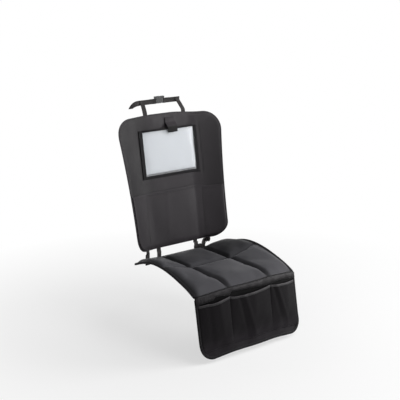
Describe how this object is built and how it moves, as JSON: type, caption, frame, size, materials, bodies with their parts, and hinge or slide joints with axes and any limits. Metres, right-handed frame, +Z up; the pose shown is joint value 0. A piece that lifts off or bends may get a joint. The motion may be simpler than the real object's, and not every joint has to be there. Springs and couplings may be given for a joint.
{
  "type": "car seat protector",
  "caption": "Padded car seat cover in its worn shape: back panel with a clear tablet window and a pocket, quilted seat pad, front flap with pockets, webbing straps and a buckle.",
  "frame": {"origin": "centre of the flat underside of the seat pad, where it rests on the seat cushion", "axes": "+X to the right seen from the front, -Y forward, towards the front flap, +Z up"},
  "size_m": [0.5018, 0.5971, 0.8645],
  "materials": {
    "panel_fabric": "matt woven cloth, dark grey",
    "quilt_fabric": "soft sheen, dark blue-grey coated cloth over wadding",
    "flap_fabric": "matt woven cloth, near black",
    "binding_tape": "woven tape, black",
    "webbing": "woven webbing, black-grey",
    "clear_film": "glossy clear film",
    "pocket_lining": "thin smooth cloth, pale grey",
    "hook_tape": "hook tape, black",
    "grip_backing": "matt grip backing, dark grey",
    "buckle_plastic": "fine satin, black"
  },
  "bodies": {
    "root": {"seat_pad": "quilt_fabric", "pad_binding": "binding_tape", "pad_underside": "grip_backing", "back_panel": "panel_fabric", "back_panel_binding": "binding_tape", "tablet_pocket_lining": "pocket_lining", "tablet_window": "clear_film", "window_tape_left": "binding_tape", "window_tape_right": "binding_tape", "window_tape_bottom": "binding_tape", "window_mouth_hem": "binding_tape", "closure_tab": "webbing", "closure_hook_patch": "hook_tape", "lower_pocket": "panel_fabric", "lower_pocket_hem": "binding_tape", "front_flap": "flap_fabric", "flap_binding": "binding_tape", "front_band": "flap_fabric", "flap_pocket_panel": "flap_fabric", "flap_pocket_hem": "binding_tape", "top_strap_left": "webbing", "top_strap_right": "webbing", "link_strap_left": "webbing", "link_strap_right": "webbing", "pad_loop_left": "webbing", "pad_loop_right": "webbing", "buckle_socket": "buckle_plastic", "buckle_plug": "buckle_plastic"}
  },
  "joints": []
}
